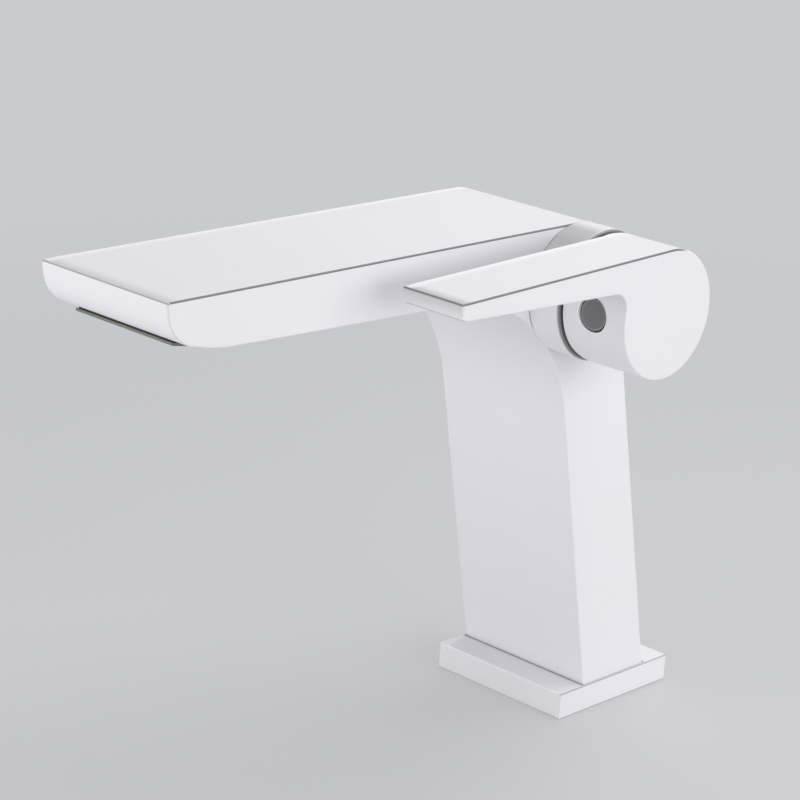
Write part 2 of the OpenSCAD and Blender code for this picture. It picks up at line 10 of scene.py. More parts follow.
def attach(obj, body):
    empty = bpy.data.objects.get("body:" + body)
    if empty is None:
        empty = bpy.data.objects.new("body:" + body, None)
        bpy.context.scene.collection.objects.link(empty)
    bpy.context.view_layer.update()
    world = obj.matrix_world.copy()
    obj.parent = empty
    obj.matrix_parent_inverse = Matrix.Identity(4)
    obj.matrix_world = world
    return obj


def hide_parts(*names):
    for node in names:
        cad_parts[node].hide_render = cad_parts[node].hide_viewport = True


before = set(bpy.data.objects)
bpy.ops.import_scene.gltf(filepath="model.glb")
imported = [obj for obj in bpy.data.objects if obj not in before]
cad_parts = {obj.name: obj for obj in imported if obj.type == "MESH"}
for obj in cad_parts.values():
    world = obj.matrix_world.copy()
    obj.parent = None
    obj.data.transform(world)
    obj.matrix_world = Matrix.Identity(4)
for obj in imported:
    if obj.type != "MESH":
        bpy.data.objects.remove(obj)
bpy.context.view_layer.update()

# BODY. Column and spout are one hollow brass casting with flat machined sides, lacquered white.
# A round foot under the column sits in the base plate's bore and takes the hoses and the stud.
# A bore in the side under the bonnet holds the cartridge, and a pocket in the chin the outlet.
body_half = 24.25
deck_top = 8.0
hub_y, hub_z = -35.167, 135.9

# A rounded edge is a quarter circle of this radius and so many points, with one more point a
# little way out on either flat face, which keeps the face's shading flat
edge_r, edge_steps, edge_ease = 0.4, 7, 0.12
edge_count = edge_steps + 2

# Points round a turned shape
round_steps = 96


def heading(degrees):
    """Unit vector at this angle in the [y, z] plane, counted from +Y towards +Z."""
    return np.array([math.cos(math.radians(degrees)), math.sin(math.radians(degrees))])


def crossing(p, a, q, b):
    """Where the line through p at angle a meets the line through q at angle b."""
    p, q = np.array(p), np.array(q)
    away = (q - p) @ (heading(b)[::-1] * [1, -1]) / math.sin(math.radians(b - a))
    return p + away * heading(a)


def outline(corners, closed):
    """Points and outward normals along a clockwise outline of (y, z, radius) corners.

    At a corner the unit normal n turns evenly from one side's to the other's, and the arc is
    middle + r n where the outline bulges and middle - r n where it is hollow. Its steps turn by
    5 degrees and are 1.2 mm long at most.
    """
    corners = [np.array(c, float) for c in corners]
    count = len(corners)
    points, normals = [], []
    for i, corner in enumerate(corners):
        p, r = corner[:2], corner[2]
        if not closed and i in (0, count - 1):
            other = corners[1 if i == 0 else count - 2][:2]
            along = (other - p) if i == 0 else (p - other)
            along /= np.linalg.norm(along)
            points.append(p[None])
            normals.append(np.array([[-along[1], along[0]]]))
            continue
        into = p - corners[i - 1][:2]
        out = corners[(i + 1) % count][:2] - p
        into, out = into / np.linalg.norm(into), out / np.linalg.norm(out)
        turn = math.atan2(into[0] * out[1] - into[1] * out[0], into @ out)
        side = r * math.tan(abs(turn) / 2)
        bulge = 1 if turn < 0 else -1
        start = p - into * side
        first = np.array([-into[1], into[0]])
        middle = start - bulge * r * first
        steps = max(4, math.ceil(abs(turn) / math.radians(5)), math.ceil(r * abs(turn) / 1.2))
        angles = math.atan2(first[1], first[0]) + turn * np.linspace(0, 1, steps + 1)
        arc_normals = np.stack([np.cos(angles), np.sin(angles)], axis=1)
        arc = middle + bulge * r * arc_normals
        points.append(np.concatenate([[start - edge_ease * into], arc,
                                      [arc[-1] + edge_ease * out]]))
        normals.append(arc_normals[[0, *range(steps + 1), -1]])
    points, normals = np.concatenate(points), np.concatenate(normals)
    # Points that fall together, where one arc runs straight into the next, are kept once
    step = np.linalg.norm(points - np.roll(points, 1, axis=0), axis=1)
    back = np.einsum("ij,ij->i", points - np.roll(points, 1, axis=0),
                     np.stack([normals[:, 1], -normals[:, 0]], axis=1))
    keep = (step > 1e-4) & (back > 0)
    if not closed:
        keep[0] = True
    return points[keep], normals[keep]


def rounded_width(half, r, middle=()):
    """Columns across a piece from side to side: (x, inset) pairs that turn a quarter circle of
    radius r from each side face to the skin, with the given x places between them."""
    angle = np.linspace(0, math.pi / 2, edge_steps)
    side = [(half, r + edge_ease)]
    side += [(half - r + r * math.cos(a), r - r * math.sin(a)) for a in angle]
    side += [(half - r - edge_ease, 0)]
    return np.array([(-x, inset) for x, inset in side] + [(x, 0) for x in middle] + side[::-1])


def skin(points, normals, columns, widen):
    """The outline carried across: grid point [i, j] is outline point i moved in along its normal
    by column j's inset, at column j's x. On the edge towards -X the distance from the side face
    grows by widen_i times itself, which makes that corner rounder."""
    from_side = columns[:, 0] - columns[0, 0]
    on_edge = np.arange(len(columns)) < edge_count
    x = columns[:, 0] + on_edge * from_side * widen[:, None]
    flat = points[:, None] - columns[None, :, 1:] * normals[:, None]
    return np.concatenate([x[..., None], flat], axis=2)


def painted_edge_columns(columns, half, r):
    """1, a painted shade, at the columns on the rounded edge towards +X, -1, a painted highlight,
    at those on the other edge and just past it, else 0."""
    on_edge = columns[:, 1] < r + 1e-6
    dark = on_edge & (columns[:, 0] > half - r - 1e-6)
    light = on_edge & (columns[:, 0] < r + 2 * edge_ease - half)
    return dark.astype(float) - light


def near_corner(points, corner, full, none):
    """How near outline points are to a corner: 1 up to one distance from it, 0 past another."""
    away = np.linalg.norm(points - np.array(corner), axis=1)
    return np.clip((none - away) / (none - full), 0, 1)


def facing_up(normals):
    """1 where an outline's normal points straight up, fading to 0 at 20 degrees from it."""
    return np.clip((normals[:, 1] - 0.94) / 0.05, 0, 1)


def facing_tip(points, normals, behind):
    """How far an outline's normal points ahead, towards -Y, at points ahead of y = behind."""
    return np.clip(-normals[:, 0], 0, 1) * (points[:, 0] < behind)


def tip_widening(points, normals, ahead, start):
    """How many times its own width is added to the edge towards -X at each outline point: 2.5 on
    the tip's face, and on the top from 2 just behind the tip's edge down to 0 about 4 mm on."""
    along_top = np.interp(points[:, 0], start, [0.8, 0])
    return 2.5 * np.maximum(ahead, facing_up(normals) * along_top)


def arris_tones(normals, edges, ahead, upright, tip):
    """The painted shade and painted highlight at each point of a skin. It is the edges' value where
    the outline faces up, and the value upright on the tip's edge towards +X. The tip's own painted
    shade, from 0 to 1, goes over both, and the side faces stay plain."""
    tones = facing_up(normals)[:, None] * edges + upright * ahead[:, None] * (edges > 0)
    tones = tip[:, None] + (1 - tip[:, None]) * tones
    tones[:, [0, -1]] = 0
    return tones


def patch(grid, around=False, window=None, arris=None):
    """A grid of points as (points, quads, painted shade and highlight values), joined up along its
    rows where it goes around, and without the cells of the window (first row, last row, first
    column, last column)."""
    rows, columns = grid.shape[:2]
    index = np.arange(rows * columns).reshape(rows, columns)
    if around:
        index = np.concatenate([index, index[:1]])
    quads = np.stack([index[:-1, :-1], index[1:, :-1], index[1:, 1:], index[:-1, 1:]], axis=2)
    keep = np.ones(quads.shape[:2], bool)
    if window:
        keep[window[0]:window[1], window[2]:window[3]] = False
    arris = np.zeros(rows * columns) if arris is None else arris.ravel()
    return grid.reshape(-1, 3), quads[keep].tolist(), arris


def flat_face(*loops, arris=0.0):
    """A flat face inside the first loop of points and outside the others, as triangles."""
    triangles = tessellate_polygon([[Vector(p) for p in loop] for loop in loops])
    points = np.concatenate(loops)
    return points, [list(t) for t in triangles], np.full(len(points), arris)


def turned(profile, origin, along, start, around=round_steps):
    """A profile of (radius, distance along the axis) turned about the axis: grid point [i, j] is
    origin + distance_j along + radius_j (cos a_i start + sin a_i side)."""
    profile, along, start = np.array(profile, float), np.array(along, float), np.array(start, float)
    side = np.cross(along, start)
    a = np.linspace(0, 2 * math.pi, around, endpoint=False)[:, None, None]
    return (np.array(origin) + profile[:, 1, None] * along
            + profile[:, 0, None] * (np.cos(a) * start + np.sin(a) * side))


def hub_turned(profile):
    """A profile of (radius, x) turned about the lever's axis."""
    return turned(profile, (0, hub_y, hub_z), (1, 0, 0), (0, 1, 0))


def new_piece(name, patches, material, body, slot, *replaced):
    """One closed mesh from patches in millimetres whose borders meet, riding on a body. A point
    attribute holds painted light along edges: painted shade at 1, painted highlight at -1, none at
    0."""
    faces, count = [], 0
    for patch_points, patch_faces, _ in patches:
        faces += [[k + count for k in face] for face in patch_faces]
        count += len(patch_points)
    mesh = bpy.data.meshes.new(name)
    mesh.from_pydata((np.concatenate([p[0] for p in patches]) / 1000).tolist(), [], faces)
    # Painted shade and painted highlight along the edges, one value per point
    arris = mesh.attributes.new("arris", "FLOAT", "POINT")
    arris.data.foreach_set("value", np.concatenate([p[2] for p in patches]))
    shell = bmesh.new()
    shell.from_mesh(mesh)
    bmesh.ops.remove_doubles(shell, verts=shell.verts, dist=1e-6)
    bmesh.ops.dissolve_degenerate(shell, edges=shell.edges, dist=1e-7)
    bmesh.ops.recalc_face_normals(shell, faces=shell.faces)
    shell.to_mesh(mesh)
    shell.free()
    mesh.polygons.foreach_set("use_smooth", [True] * len(mesh.polygons))
    mesh.set_sharp_from_angle(angle=math.radians(32))
    mesh.materials.append(material)
    piece = bpy.data.objects.new(name, mesh)
    bpy.context.scene.collection.objects.link(piece)
    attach(piece, body)
    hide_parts(*replaced)


def colour(code):
    """An sRGB hex code as linear RGBA."""
    parts = [int(code[i:i + 2], 16) / 255 for i in (1, 3, 5)]
    return [p / 12.92 if p <= 0.04045 else ((p + 0.055) / 1.055) ** 2.4 for p in parts] + [1]


def add_node(material, kind, inputs=(), **settings):
    """Adds a node with its settings. An input is (socket, value), or (socket, output to link)."""
    made = material.node_tree.nodes.new(kind)
    for name, value in settings.items():
        setattr(made, name, value)
    for socket, value in inputs:
        if isinstance(value, bpy.types.NodeSocket):
            material.node_tree.links.new(value, made.inputs[socket])
        else:
            made.inputs[socket].default_value = value
    return made


def new_material(name, settings):
    """A material with its surface shader's constant settings, and the object coordinates."""
    material = bpy.data.materials.new(name)
    material.use_nodes = True
    shader = material.node_tree.nodes["Principled BSDF"]
    for socket, value in settings.items():
        shader.inputs[socket].default_value = value
    return material, shader, add_node(material, "ShaderNodeTexCoord").outputs["Object"]


def link(material, output, socket):
    """Links an output to a socket."""
    material.node_tree.links.new(output, socket)


def mottled(material, place, size_mm, low=0, high=1, detail=2):
    """A soft cloud pattern of spots about size_mm wide, from low to high."""
    cloud = add_node(material, "ShaderNodeTexNoise",
                     [("Vector", place), ("Scale", 1000 / size_mm), ("Detail", detail)])
    return add_node(material, "ShaderNodeMapRange", [
        ("Value", cloud.outputs["Fac"]), ("From Min", 0.3), ("From Max", 0.7),
        ("To Min", low), ("To Max", high)]).outputs["Result"]


def finish(material, shader, tint, tones, roughness, height=None, depth_mm=0, arris=None):
    """Links up a surface shader. Its colour goes from the first tone to the second as tint goes
    from 0 to 1, and a height pattern of 0 to 1 stands depth_mm high. With a pair of edge colours,
    the first, a painted shade, takes over where the edge attribute goes towards 1, and the second,
    a painted highlight, takes over where it goes towards -1."""
    shares = [(tint, colour(tones[1]))]
    if arris:
        dark = add_node(material, "ShaderNodeAttribute", attribute_name="arris").outputs["Fac"]
        light = add_node(material, "ShaderNodeMath", [(0, dark), (1, -1.0)], operation="MULTIPLY")
        shares += [(dark, colour(arris[0])), (light.outputs["Value"], colour(arris[1]))]
    mixed = colour(tones[0])
    for share, other in shares:
        mixed = add_node(material, "ShaderNodeMix", [("Factor", share), ("A", mixed), ("B", other)],
                         data_type="RGBA").outputs["Result"]
    link(material, mixed, shader.inputs["Base Color"])
    link(material, roughness, shader.inputs["Roughness"])
    if height:
        bump = add_node(material, "ShaderNodeBump", [
            ("Height", height), ("Strength", 1.0), ("Distance", depth_mm / 1000)])
        link(material, bump.outputs["Normal"], shader.inputs["Normal"])


# Baked lacquer over brass, sprayed: an even satin white. Its faint orange peel, waves about 2 mm
# wide and under a thousandth high, softens what it mirrors, and its gloss varies a little. The thin
# grey and light lines along its edges are painted shade and painted highlight, which follow the
# edge attribute.
white_lacquer, shader, place = new_material("white baked lacquer, satin", {"IOR": 1.5})
finish(white_lacquer, shader, mottled(white_lacquer, place, 55), ("#ecebf0", "#ebeaee"),
       mottled(white_lacquer, place, 9, 0.36, 0.4),
       mottled(white_lacquer, place, 2.2, detail=1), 0.0008, ("#6f6f73", "#fdfdff"))

# Corners of the side view as (y, z, radius), from the foot's front up, out to the tip and back
tap_top, spout_tip, spout_under, tip_r = 154.5, -187.6, 140.5, 0.9
foot_front, foot_back = (-14.0, deck_top), (14.0, deck_top)
chin = (spout_tip + 17.8, spout_under - 17.8 * math.tan(math.radians(1.5)))
nose = crossing((spout_tip, tap_top), 10 - 90, chin, 180 - 12.8)
throat = crossing(chin, -1.5, foot_front, 90 + 12.5)
heel = crossing(foot_back, 90 + 13, (spout_tip, tap_top), 0)
side_points, side_normals = outline([
    (*foot_front, 0), (*throat, 51.5), (*chin, 50), (*nose, 10.8), (spout_tip, tap_top, tip_r),
    (spout_tip + 5, tap_top, 0), (*heel, 18.6), (*foot_back, 0)], closed=False)

# The pocket's front and back in the chin are rows of the skin, and its sides are columns. The
# spout's underside is what lies ahead of the column and lower than the spout's middle.
spout_middle = 146.0
pocket_half, pocket_front, pocket_back, pocket_roof = 18.1, -179.8, -168.8, 146.85
for pocket_y in (pocket_back, pocket_front):
    under = np.flatnonzero((side_points[:, 1] < spout_middle) & (side_points[:, 0] < -80))
    after = under[0] + np.searchsorted(-side_points[under, 0], -pocket_y)
    share = ((pocket_y - side_points[after - 1, 0])
             / (side_points[after, 0] - side_points[after - 1, 0]))
    side_points = np.insert(side_points, after, (1 - share) * side_points[after - 1]
                            + share * side_points[after], axis=0)
    side_normals = np.insert(side_normals, after, side_normals[after - 1], axis=0)
under_y = np.where(side_points[:, 1] < spout_middle, side_points[:, 0], np.inf)
pocket_rows = [int(np.argmin(np.abs(under_y - y))) for y in (pocket_back, pocket_front)]

# At the deck the skin stays level, so its inset there runs along Y
inset_normals = side_normals.copy()
for end in (0, -1):
    inset_normals[end] = [1 / side_normals[end, 0], 0]

# Columns for the pocket's cells, and one more beside them on either side
pocket_cells = 12
body_columns = rounded_width(body_half, edge_r, [
    -21, *np.linspace(-pocket_half, pocket_half, pocket_cells + 1), 21])
pocket_columns = [edge_count + 1, edge_count + 1 + pocket_cells]
behind_tip = [spout_tip + tip_r, spout_tip + 4.8]
spout_ahead = facing_tip(side_points, side_normals, chin[0])
body_skin = skin(side_points, inset_normals, body_columns,
                 tip_widening(side_points, side_normals, spout_ahead, behind_tip))

# The tip's upper edge carries a painted shade as a dark line, a painted shade greys the top a
# little towards it, and the nose's upright edge towards +X takes a faint painted shade
tip_painted_shade = near_corner(side_points, (spout_tip, tap_top), 0.45, 0.62)
tip_top_painted_shade = np.interp(side_points[:, 0], behind_tip, [0.3, 0]) * (side_points[:, 1] > tap_top - 0.4)
body_arris = arris_tones(side_normals, painted_edge_columns(body_columns, body_half, edge_r),
                         spout_ahead, 0.16, np.maximum(tip_painted_shade, tip_top_painted_shade))

mouth = hub_turned([(14.5, body_half), (14.5, 7.0), (12.65, 7.0), (12.65, -12.4), (0, -12.4)])
foot = turned([(13.4, deck_top), (13.4, 5.6), (11.6, 5.6), (11.6, 3.6), (13.4, 3.6), (13.4, 1.2)],
              (0, 0, 0), (0, 0, 1), (1, 0, 0))
threads = [turned([(r, 1.2), (r, top), (0, top)], (x, y, 0), (0, 0, 1), (1, 0, 0), around=48)
           for x, y, r, top in ((-6.5, 3, 3.5, 13.2), (6.5, 3, 3.5, 13.2), (0, -7.5, 3.4, 11.2))]
deck_loop = np.concatenate([body_skin[0], body_skin[-1, ::-1]])

rim = body_skin[pocket_rows[0]:pocket_rows[1] + 1, pocket_columns[0]:pocket_columns[1] + 1]
rim = np.concatenate([rim[:-1, 0], rim[-1, :-1], rim[:0:-1, -1], rim[0, :0:-1]])
roof = rim * [1, 1, 0] + [0, 0, pocket_roof]

new_piece(
    "tap_body",
    [
        patch(body_skin, window=(*pocket_rows, *pocket_columns), arris=body_arris),
        flat_face(body_skin[:, 0]),
        flat_face(body_skin[:, -1], mouth[:, 0]),
        patch(mouth, around=True),
        flat_face(deck_loop, foot[:, 0]),
        patch(foot, around=True),
        flat_face(foot[:, -1], *[hole[:, 0] for hole in threads]),
        *[patch(hole, around=True) for hole in threads],
        patch(np.stack([rim, roof], axis=1), around=True),
        flat_face(roof),
    ],
    white_lacquer, "tap", "white_lacquer", "body")

# BASE PLATE. A square brass slab, machined and lacquered white with the body, that covers the
# basin's hole. The body's foot sits in its bore, and a groove underneath holds the deck seal.
plate_half, plate_r, plate_corner_r = 25.0, 0.25, 0.3


def square_loop(half, r, inset, z, corner=7, side=12):
    """A square with round corners as a closed loop: its half-side and its corner's radius both
    shrink by the inset. Each side has evenly spaced points and each corner a quarter circle."""
    loop = []
    for quarter in range(4):
        turn = math.radians(90 * quarter)
        a = turn + np.linspace(0, math.pi / 2, corner)
        middle = (half - r) * np.array([math.cos(turn) - math.sin(turn),
                                        math.sin(turn) + math.cos(turn)])
        loop.append(middle + (r - inset) * np.stack([np.cos(a), np.sin(a)], axis=1))
        last, ahead = loop[-1][-1], np.array([-math.cos(turn), -math.sin(turn)])
        length = 2 * (half - r)
        places = np.concatenate([[edge_ease], np.linspace(1, length - 1, side),
                                 [length - edge_ease]])
        loop.append(last + places[:, None] * ahead)
    loop = np.concatenate(loop)
    return np.concatenate([loop, np.full((len(loop), 1), z)], axis=1)


# Rows up the plate's side as (inset, z), with a quarter circle at either edge
quarter = np.linspace(0, math.pi / 2, 6)
plate_rows = [(plate_r + edge_ease, 0)]
plate_rows += [(plate_r * (1 - math.sin(a)), plate_r * (1 - math.cos(a))) for a in quarter]
plate_rows += [(0, plate_r + edge_ease), (0, deck_top - plate_r - edge_ease)]
plate_rows += [(plate_r * (1 - math.cos(a)), deck_top - plate_r * (1 - math.sin(a)))
               for a in quarter]
plate_rows += [(plate_r + edge_ease, deck_top)]
plate_skin = np.stack([square_loop(plate_half, plate_corner_r, inset, z)
                       for inset, z in plate_rows], axis=1)

# The plate's edges carry a painted highlight, apart from the upper one on the lever's side, which
# carries a painted shade
plate_arris = np.zeros(plate_skin.shape[:2])
plate_arris[:, 1:len(quarter) + 1] = -0.5
lever_side = plate_skin[:, :1, 0] > plate_half - 1
plate_arris[:, -len(quarter) - 1:-1] = np.where(lever_side, 0.6, -0.35)
plate_bore = turned([(13.45, deck_top), (13.45, 0)], (0, 0, 0), (0, 0, 1), (1, 0, 0))

# A painted contact shadow at the column's foot: a band round the foot darkens towards it, 1.5 mm
# wide in front and behind and 0.35 mm at the sides, and the plate under the foot takes the same
# painted shade
foot_corners = np.array([(1, -1), (1, 1), (-1, 1), (-1, -1)])
foot_loop, band_loop = [
    np.concatenate([foot_corners * size, np.full((4, 1), deck_top)], axis=1)
    for size in ((body_half, foot_back[0]), (body_half + 0.35, foot_back[0] + 1.5))]
foot_band = np.stack([band_loop, foot_loop], axis=1)
seal_groove = turned([(21.05, 0), (21.05, 1.85), (17.95, 1.85), (17.95, 0)],
                     (0, 0, 0), (0, 0, 1), (1, 0, 0))
new_piece(
    "cover_plate",
    [
        patch(plate_skin, around=True, arris=plate_arris),
        flat_face(plate_skin[:, -1], band_loop),
        patch(foot_band, around=True, arris=np.tile([0.0, 1.0], (4, 1))),
        flat_face(foot_loop, plate_bore[:, 0], arris=1.0),
        patch(plate_bore, around=True),
        flat_face(plate_skin[:, 0], seal_groove[:, 0]),
        patch(seal_groove, around=True),
        flat_face(seal_groove[:, -1], plate_bore[:, -1]),
    ],
    white_lacquer, "tap", "white_lacquer", "base_plate")

# BONNET. A turned brass cap, lacquered white, pushed on the retaining nut's sleeve. Its rim
# meets the body's side, and a chamfer breaks its outer end.


def eased(corners, r, steps=4):
    """A closed profile of (radius, x) corners, each replaced by a small arc between the points
    r before and after it: a curve whose two handles both lie at the corner."""
    corners = np.array(corners, float)
    done = []
    for i, p in enumerate(corners):
        before, after = corners[i - 1] - p, corners[(i + 1) % len(corners)] - p
        reach = min(r, 0.45 * np.linalg.norm(before), 0.45 * np.linalg.norm(after))
        a = p + before / np.linalg.norm(before) * reach
        b = p + after / np.linalg.norm(after) * reach
        t = np.linspace(0, 1, steps + 1)[:, None]
        arc = (1 - t) ** 2 * a + 2 * t * (1 - t) * p + t ** 2 * b
        done.append(np.concatenate([[a + (a - p) * 0.2], arc, [b + (b - p) * 0.2]]))
    return np.concatenate(done)


def ring_piece(profile, arris=None):
    """A closed profile turned about the lever's axis, as one patch."""
    grid = hub_turned(np.concatenate([profile, profile[:1]]))
    if arris is not None:
        arris = np.concatenate([arris, arris[:, :1]], axis=1)
    return patch(grid, around=True, arris=arris)


bonnet_r = 18.945
bonnet_profile = eased([(bonnet_r, body_half), (bonnet_r, 34.5), (18.25, 35.2), (9.0, 35.2),
                        (9.0, 33.6), (14.4, 33.6), (14.4, 28.4), (15.99, 28.4),
                        (15.99, body_half)], 0.25)

# Painted shade: a dark line along the seam at the body and on the chamfer by the gap to the handle,
# and a softer painted shade, half as dark, on the outside under the lever: its angle is counted
# from +Y over the top
bonnet_painted_seam_shade = np.maximum(near_corner(bonnet_profile, (bonnet_r, body_half), 0.2, 0.28),
                         np.interp(bonnet_profile[:, 1], [34.3, 34.7, 35.1], [0, 0.8, 1]))
bonnet_outside = (bonnet_profile[:, 0] > 18.2).astype(float)
bonnet_turn = np.linspace(0, 360, round_steps, endpoint=False)[:, None]
bonnet_painted_shade = 0.5 * np.interp(bonnet_turn, [91, 104, 126, 155], [0, 1, 1, 0]) * bonnet_outside
new_piece("bonnet_cap", [ring_piece(bonnet_profile, np.maximum(bonnet_painted_seam_shade, bonnet_painted_shade))],
          white_lacquer, "tap", "white_lacquer", "bonnet")

# GLIDE RING. Moulded acetal, white, pressed into the handle's inner face by its spigot. It
# fills most of the gap and keeps the handle off the bonnet. Its fine grain makes it half matt.
ring_acetal, shader, place = new_material("bright white acetal, moulded", {"IOR": 1.48})
finish(ring_acetal, shader, mottled(ring_acetal, place, 6), ("#efeff0", "#e8e8ea"),
       mottled(ring_acetal, place, 3, 0.38, 0.46), mottled(ring_acetal, place, 0.4), 0.002)
glide_profile = eased([(18.1, 35.95), (18.1, 37.2), (16.9, 37.2), (16.9, 38.6), (15.1, 38.6),
                       (15.1, 35.95)], 0.15)
new_piece("glide_washer", [ring_piece(glide_profile)],
          ring_acetal, "lever", "glide_plastic", "glide_ring")

# HANDLE. Hub and flat lever are one zinc casting, lacquered white like the body. It is bored for
# the stem, hollowed for the glide ring's spigot, and has a round seat for the plug in front.
hub_r, lever_end, lever_fall, lever_tip_r = 18.5, hub_y - 84.4, 1.8, 0.5
handle_in, handle_out = 37.2, 58.4
hub_front = hub_y - hub_r
top_touch = np.array([hub_y, hub_z]) + hub_r * heading(90 + lever_fall)


def top_line(y):
    """Height of the lever's top at y."""
    return top_touch[1] + (y - top_touch[0]) * math.tan(math.radians(lever_fall))


lever_tip = (lever_end, top_line(lever_end))
lever_root = (hub_front, top_line(hub_front) - 8.85)
under_slope = math.degrees(math.atan((lever_tip[1] - 4.7 - lever_root[1])
                                     / (hub_front - lever_end)))
lever_lip = crossing(lever_root, 180 - under_slope, lever_tip, 15 - 90)
handle_points, handle_normals = outline([
    (*lever_lip, 0.8), (*lever_tip, lever_tip_r), (lever_end + 4.6, top_line(lever_end + 4.6), 0),
    (hub_y + hub_r, top_line(hub_y + hub_r), hub_r),
    (hub_y + hub_r, hub_z - hub_r, hub_r), (hub_front, hub_z - hub_r, hub_r), (*lever_root, 5)],
    closed=True)

# The hub's front between the lever and the hub's lower side. Its rows before the stem are spaced
# evenly in height, so that the plug's seat fits them.
seat_x, seat_r, seat_half, seat_cells = 46.6, 4.95, 6.0, 20
front = np.flatnonzero((handle_points[:, 0] < hub_y - 9) & (handle_points[:, 1] < lever_root[1] - 3)
                       & (handle_points[:, 1] > hub_z - 15))
front_z, front_y = handle_points[front, 1], handle_points[front, 0]
seat_z = np.linspace(hub_z - seat_half, hub_z + seat_half, seat_cells + 1)[:, None]
inside = front[(front_z > seat_z[0, 0] - 0.2) & (front_z < seat_z[-1, 0] + 0.1)]
seat_rows = np.stack([np.interp(seat_z[:, 0], front_z, front_y), seat_z[:, 0]], axis=1)
seat_normals = np.stack([np.interp(seat_z[:, 0], front_z, handle_normals[front, k])
                         for k in (0, 1)], axis=1)
handle_points = np.concatenate([handle_points[:inside[0]], seat_rows,
                                handle_points[inside[-1] + 1:]])
handle_normals = np.concatenate([handle_normals[:inside[0]], seat_normals,
                                 handle_normals[inside[-1] + 1:]])
handle_mid, handle_half = (handle_in + handle_out) / 2, (handle_out - handle_in) / 2
handle_columns = rounded_width(handle_half, edge_r, seat_x - handle_mid + np.linspace(
    -seat_half, seat_half, seat_cells + 1))

# The tip's upper edge carries a painted shade as a dark line that fades over the top and the tip's
# face, and its lower edge a weaker one. Its upright edge on the near side carries a faint painted
# highlight.
away = np.linalg.norm(handle_points - np.array(lever_tip), axis=1)
on_top = handle_points[:, 0] - lever_end > lever_tip[1] - handle_points[:, 1]
tip_painted_shade = np.where(on_top, np.interp(away, [0.3, 0.63, 4.5], [1, 0.5, 0]),
                    np.interp(away, [0.3, 0.63, 4.4], [1, 0.3, 0]))
tip_painted_shade = np.maximum(tip_painted_shade, 0.4 * near_corner(handle_points, lever_lip, 0.35, 0.6))
lever_ahead = facing_tip(handle_points, handle_normals, lever_end + 4)
handle_arris = arris_tones(handle_normals, painted_edge_columns(handle_columns, handle_half, edge_r),
                           lever_ahead, -0.3, tip_painted_shade)
handle_columns[:, 0] += handle_mid
handle_skin = skin(handle_points, handle_normals, handle_columns, tip_widening(
    handle_points, handle_normals, lever_ahead, [lever_end + lever_tip_r, lever_end + 4.5]))
window = (inside[0], inside[0] + seat_cells, edge_count, edge_count + seat_cells)

# Round the seat the skin runs from the window's square border to the hole's circle in x and z,
# and y is read off the hub's front. Then the hole's edge rolls in and its wall runs to the floor.
border = handle_skin[window[0]:window[1] + 1, window[2]:window[3] + 1]
border = np.concatenate([border[:-1, 0], border[-1, :-1], border[:0:-1, -1], border[0, :0:-1]])
angle = np.arctan2(border[:, 2] - hub_z, border[:, 0] - seat_x)
round_in = np.stack([np.cos(angle), np.sin(angle)], axis=1)
rim_r = 0.35
collar = []
for t in np.linspace(0, 1, 5):
    flat = (1 - t) * border[:, [0, 2]] + t * ((seat_x, hub_z) + (seat_r + rim_r) * round_in)
    collar.append(np.stack([flat[:, 0], np.interp(flat[:, 1], front_z, front_y), flat[:, 1]], 1))
collar[0] = border
for a in np.linspace(0, math.pi / 2, 6)[1:]:
    flat = (seat_x, hub_z) + (seat_r + rim_r * (1 - math.sin(a))) * round_in
    y = np.interp(flat[:, 1], front_z, front_y) + rim_r * (1 - math.cos(a))
    collar.append(np.stack([flat[:, 0], y, flat[:, 1]], axis=1))
seat_floor = -50.29
flat = (seat_x, hub_z) + seat_r * round_in
collar.append(np.stack([flat[:, 0], np.full(len(flat), seat_floor), flat[:, 1]], axis=1))
collar = np.stack(collar, axis=1)

# Across the collar's eleven columns: plain on the front, then a painted highlight on the rim and a
# painted shadow on the wall. The painted shadow is darkest towards +X and a little above, and the
# painted highlight is lightest opposite.
seat_painted_shadow = np.clip(0.2 + round_in @ heading(25), 0, 1)[:, None]
rim_painted_highlight = np.array([-0.8, -0.6]) * (1 - seat_painted_shadow)
collar_arris = np.concatenate([np.zeros((len(collar), 5)), rim_painted_highlight, np.tile(seat_painted_shadow, 3),
                               0.5 + 0.5 * seat_painted_shadow], axis=1)

hub_inside = hub_turned([(16.95, handle_in), (16.95, 38.65), (15.1, 38.65), (15.1, 41.2),
                         (7.5, 41.2), (7.5, handle_in), (4.05, handle_in), (4.05, 52.5),
                         (0, 52.5)])
new_piece(
    "lever_handle",
    [
        patch(handle_skin, around=True, window=window, arris=handle_arris),
        patch(collar, around=True, arris=collar_arris),
        flat_face(collar[:, -1]),
        flat_face(handle_skin[:, -1]),
        flat_face(handle_skin[:, 0], hub_inside[:, 0]),
        patch(hub_inside, around=True),
    ],
    white_lacquer, "lever", "white_lacquer", "handle")

# INDEX PLUG. Moulded ABS, dark grey, pushed into its seat over the set screw. Its face is flat
# with a chamfered edge, and the mould's fine grain makes it matt.
grey_abs, shader, place = new_material("dark grey ABS, moulded matt", {"IOR": 1.52})
# The edge colours are a painted shade, near black, and a painted highlight, light grey
finish(grey_abs, shader, mottled(grey_abs, place, 3), ("#6c6c6e", "#686869"),
       mottled(grey_abs, place, 1.5, 0.42, 0.5),
       mottled(grey_abs, place, 0.25), 0.003, ("#1c1c1e", "#97979a"))

